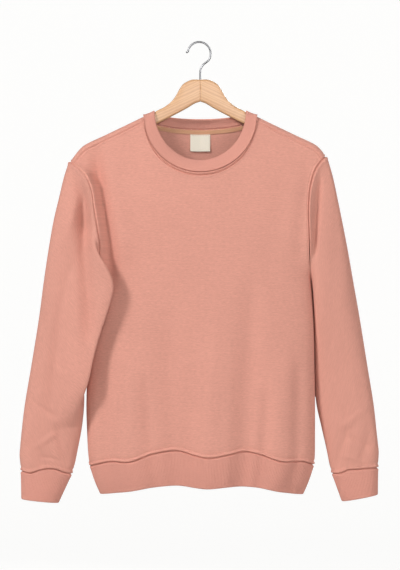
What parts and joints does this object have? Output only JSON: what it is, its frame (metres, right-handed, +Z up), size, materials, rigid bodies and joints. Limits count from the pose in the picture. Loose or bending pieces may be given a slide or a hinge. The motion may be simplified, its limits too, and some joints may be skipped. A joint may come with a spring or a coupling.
{
  "type": "crewneck sweatshirt on a wooden hanger",
  "caption": "Dusty-pink fleece crewneck sweatshirt with ribbed collar, cuffs and waistband, hung on a beech hanger with a steel hook",
  "frame": {"origin": "the underside of the top bend of the hook, where a rail carries it", "axes": "X across the shoulders to the viewer's right, Y from the front of the sweatshirt to its back, Z up"},
  "size_m": [0.6455, 0.1156, 0.8301],
  "materials": {
    "fleece": "soft brushed cotton fleece, matt, with a faint crosswise slub",
    "rib": "fine one by one cotton rib, matt",
    "tape": "narrow woven twill tape",
    "label": "bare woven label",
    "beech": "clear satin lacquer over straight grain",
    "steel": "polished plated wire"
  },
  "bodies": {
    "root": {"front": "fleece", "back": "fleece", "sleeve_left": "fleece", "sleeve_right": "fleece", "cuff_left": "rib", "cuff_right": "rib", "waistband": "rib", "collar": "rib", "neck_tape": "tape", "label": "label", "hanger_wood": "beech", "hanger_hook": "steel"}
  },
  "joints": []
}
